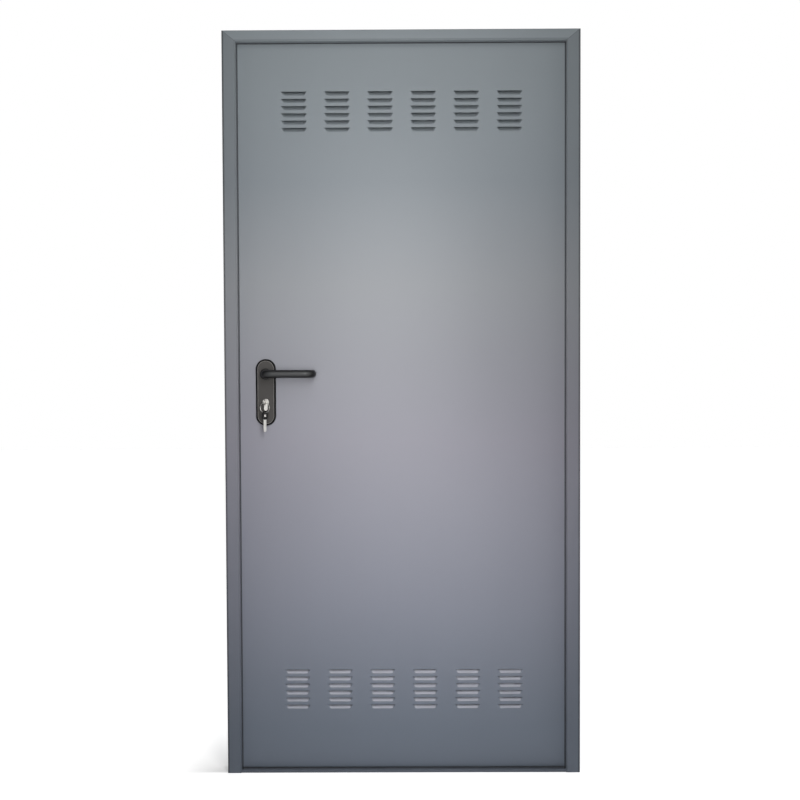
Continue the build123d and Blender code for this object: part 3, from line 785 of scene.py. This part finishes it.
# Stage: pale floor, lamps, world and camera
stage = {
    "floorSize": 24.0,
    "floorDrop": 0.0004,
    "floorWhite": "#e9e9e9",
    "floorGlow": (0.38, 0.73),  # lowered by the left foot as a painted shadow, and away from it
    "floorGlowReach": (0.0, 0.2),
    "floorMirror": (-0.4, 0.4),  # from front to back, where its mirror image turns white
    "leftFoot": (-0.497, -0.013, 0.0),
    "shadowSquash": (1.0, 0.45, 1.0),  # the painted shadow is longer towards the back than to the side
    "shadowFront": (-0.005, -0.03),  # it ends at the frame's front face
    "keyPlace": (-0.04, -1.0, 1.40),
    "keyAim": (-0.04, 0.0, 1.40),
    "keySize": (0.35, 1.0),
    "keyWatts": 7.6,
    "topPlace": (0.0, -1.6, 3.0),
    "topAim": (0.0, 0.0, 0.9),
    "topSize": (0.8, 0.8),
    "topWatts": 6.5,
    "lowPlace": (0.05, -1.2, 0.75),
    "lowAim": (0.05, 0.0, 0.42),
    "lowSize": (0.6, 0.2),
    "lowSpread": 72.0,  # degrees; a grid keeps this light on the foot of the door
    "lowWatts": 0.80,
    "sidePlace": (-0.50, -1.3, 1.15),
    "sideAim": (-0.35, 0.0, 1.12),
    "sideSize": (0.5, 0.6),
    "sideWatts": 1.8,
    "backdropTurn": 50.0,  # degrees from straight behind the door towards its right
    "backdropEdge": 0.5,  # how softly it starts
    "roomLight": "#0c0d10",
}
floorEnd = stage["floorSize"] / 2
floorCorners = [
    (acrossEnd * floorEnd, backEnd * floorEnd, -stage["floorDrop"])
    for acrossEnd, backEnd in ((-1, -1), (1, -1), (1, 1), (-1, 1))]
floorMesh = bpy.data.meshes.new("floor")
floorMesh.from_pydata(floorCorners, [], [(0, 1, 2, 3)])
floor = bpy.data.objects.new("floor", floorMesh)
bpy.context.scene.collection.objects.link(floor)

# seen straight or through glass the floor is white except for a painted shadow by the left foot; mirrored, it
# is white from the door backwards
floorPaint, tree, place = startFinish("floorWhite")
rays = addNode(tree, "ShaderNodeLightPath")
spot = addNode(tree, "ShaderNodeSeparateXYZ", {0: place})
pastDoor = addNode(tree, "ShaderNodeMapRange", {
    "Value": spot.outputs["Y"], "From Min": stage["floorMirror"][0], "From Max": stage["floorMirror"][1]})
mirrored = addNode(tree, "ShaderNodeMath", {
    0: rays.outputs["Is Glossy Ray"], 1: pastDoor.outputs[0]}, operation="MULTIPLY")
direct = addNode(tree, "ShaderNodeMath", {
    0: rays.outputs["Is Camera Ray"], 1: rays.outputs["Is Transmission Ray"]}, operation="MAXIMUM")
seen = addNode(tree, "ShaderNodeMath", {0: direct.outputs[0], 1: mirrored.outputs[0]}, operation="MAXIMUM")
# painted shadow: the floor's glow is lowered near the left foot, but not in front of the frame
squashed = addNode(tree, "ShaderNodeVectorMath", {0: place, 1: stage["shadowSquash"]}, operation="MULTIPLY")
away = addNode(tree, "ShaderNodeVectorMath", {
    0: squashed.outputs[0], 1: stage["leftFoot"]}, operation="DISTANCE")
paintedShadowGlow = addNode(tree, "ShaderNodeMapRange", {
    "Value": away.outputs["Value"],
    "From Min": stage["floorGlowReach"][0], "From Max": stage["floorGlowReach"][1],
    "To Min": stage["floorGlow"][0], "To Max": stage["floorGlow"][1]}, interpolation_type="SMOOTHSTEP")
inFront = addNode(tree, "ShaderNodeMapRange", {
    "Value": spot.outputs["Y"], "From Min": stage["shadowFront"][0], "From Max": stage["shadowFront"][1],
    "To Max": stage["floorGlow"][1]})
lifted = addNode(tree, "ShaderNodeMath", {0: paintedShadowGlow.outputs[0], 1: inFront.outputs[0]}, operation="MAXIMUM")
glow = addNode(tree, "ShaderNodeMath", {0: seen.outputs[0], 1: lifted.outputs[0]}, operation="MULTIPLY")
matte = addNode(tree, "ShaderNodeBsdfDiffuse", {"Color": hexLinear(stage["floorWhite"])})
lift = addNode(tree, "ShaderNodeEmission", {"Color": (1, 1, 1, 1), "Strength": glow.outputs[0]})
surface = addNode(tree, "ShaderNodeAddShader", {0: matte.outputs[0], 1: lift.outputs[0]})
addNode(tree, "ShaderNodeOutputMaterial", {"Surface": surface.outputs[0]})
floorMesh.materials.append(floorPaint)

# the backdrop behind the door is white for every ray, the room on the viewer's side is dim, and
# what the camera sees directly is white all round
world = bpy.data.worlds.new("studio")
bpy.context.scene.world = world
world.use_nodes = True
tree = world.node_tree
tree.nodes.clear()
backdrop = radians(stage["backdropTurn"])
sky = addNode(tree, "ShaderNodeTexCoord").outputs["Generated"]
towards = addNode(tree, "ShaderNodeVectorMath", {
    0: sky, 1: (sin(backdrop), cos(backdrop), 0)}, operation="DOT_PRODUCT")
behind = addNode(tree, "ShaderNodeMapRange", {
    "Value": towards.outputs["Value"], "From Min": 0.0, "From Max": stage["backdropEdge"]},
    interpolation_type="SMOOTHSTEP")
rays = addNode(tree, "ShaderNodeLightPath")
direct = addNode(tree, "ShaderNodeMath", {
    0: rays.outputs["Is Camera Ray"], 1: rays.outputs["Is Transmission Ray"]}, operation="MAXIMUM")
whiteShare = addNode(tree, "ShaderNodeMath", {
    0: direct.outputs[0], 1: behind.outputs[0]}, operation="MAXIMUM")
surroundings = addNode(tree, "ShaderNodeMix", {
    0: whiteShare.outputs[0], 6: hexLinear(stage["roomLight"]), 7: (1, 1, 1, 1)}, data_type="RGBA")
background = addNode(tree, "ShaderNodeBackground", {"Color": surroundings.outputs[2], "Strength": 1.0})
addNode(tree, "ShaderNodeOutputWorld", {"Surface": background.outputs[0]})


def addLamp(name):
    lamp = bpy.data.lights.new(name, "AREA")
    lamp.shape = "RECTANGLE"
    lamp.size, lamp.size_y = stage[name + "Size"]
    lamp.energy = stage[name + "Watts"]
    lamp.spread = radians(stage.get(name + "Spread", 180.0))
    holder = bpy.data.objects.new(name, lamp)
    holder.location = stage[name + "Place"]
    aim = Vector(stage[name + "Aim"]) - Vector(stage[name + "Place"])
    holder.rotation_euler = aim.to_track_quat("-Z", "Y").to_euler()
    holder.visible_camera = False
    bpy.context.scene.collection.objects.link(holder)


for name in ("key", "top", "low", "side"):
    addLamp(name)

# the viewer's place in metres, turns in degrees, and the lens by its focal length in pixels of the picture
view = {
    "place": (0.008, -3.0, 1.140),
    "pitchDown": 1.76,
    "yaw": 0.28,
    "roll": 0.24,
    "focalPixels": 1068.0,
    "picturePixels": 800,
    "sensorMm": 36.0,
}
yaw, pitch, roll = (radians(view[name]) for name in ("yaw", "pitchDown", "roll"))
level = Vector((-sin(yaw), cos(yaw), 0))
ahead = cos(pitch) * level - sin(pitch) * Vector((0, 0, 1))
above = sin(pitch) * level + cos(pitch) * Vector((0, 0, 1))
right = Vector((cos(yaw), sin(yaw), 0))
rolledRight = cos(roll) * right - sin(roll) * above
rolledAbove = sin(roll) * right + cos(roll) * above
cameraTurn = Matrix((rolledRight, rolledAbove, -ahead)).transposed()
cameraData = bpy.data.cameras.new("photoView")
cameraData.sensor_width = view["sensorMm"]
cameraData.lens = view["focalPixels"] / view["picturePixels"] * view["sensorMm"]
camera = bpy.data.objects.new("photoView", cameraData)
camera.matrix_world = Matrix.Translation(view["place"]) @ cameraTurn.to_4x4()
bpy.context.scene.collection.objects.link(camera)
bpy.context.scene.camera = camera
bpy.context.scene.view_settings.view_transform = "Standard"
print("stage set")
